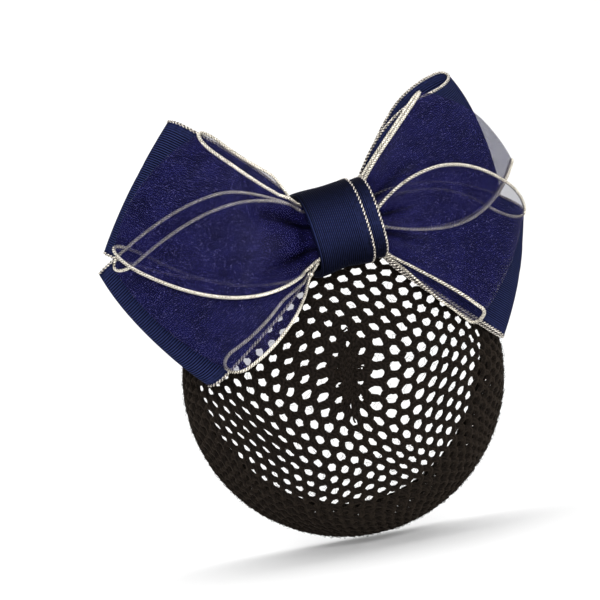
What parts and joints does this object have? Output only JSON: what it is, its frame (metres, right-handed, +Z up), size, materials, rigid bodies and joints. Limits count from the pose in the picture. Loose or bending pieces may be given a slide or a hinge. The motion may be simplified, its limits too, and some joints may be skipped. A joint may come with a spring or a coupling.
{
  "type": "bun net hair clip",
  "caption": "Hair clip with a double ribbon bow, ribbed ribbon behind sheer organza, and a knitted net below it that holds a hair bun.",
  "frame": {"origin": "centre of the back of the clip, where it lies on the head", "axes": "+Z up, +X along the bow to the wearer's right seen from behind, +Y into the head, so the bow's front faces -Y"},
  "size_m": [0.1374, 0.0874, 0.1451],
  "materials": {
    "clip_steel": "plain sprung steel",
    "ribbed_ribbon": "navy ribbed ribbon, matt with a faint sheen",
    "organza": "sheer violet navy organza with a fine glitter",
    "gold_braid": "pale gold metallic thread at the ribbon edges",
    "net_yarn": "matt black knitted yarn"
  },
  "bodies": {
    "root": {"clip": "clip_steel", "ribbed_ribbon_back": "ribbed_ribbon", "ribbed_ribbon_front": "ribbed_ribbon", "organza_ribbon_back": "organza", "organza_ribbon_front": "organza", "centre_wrap": "ribbed_ribbon", "bun_net": "net_yarn", "net_rim": "net_yarn"}
  },
  "joints": []
}
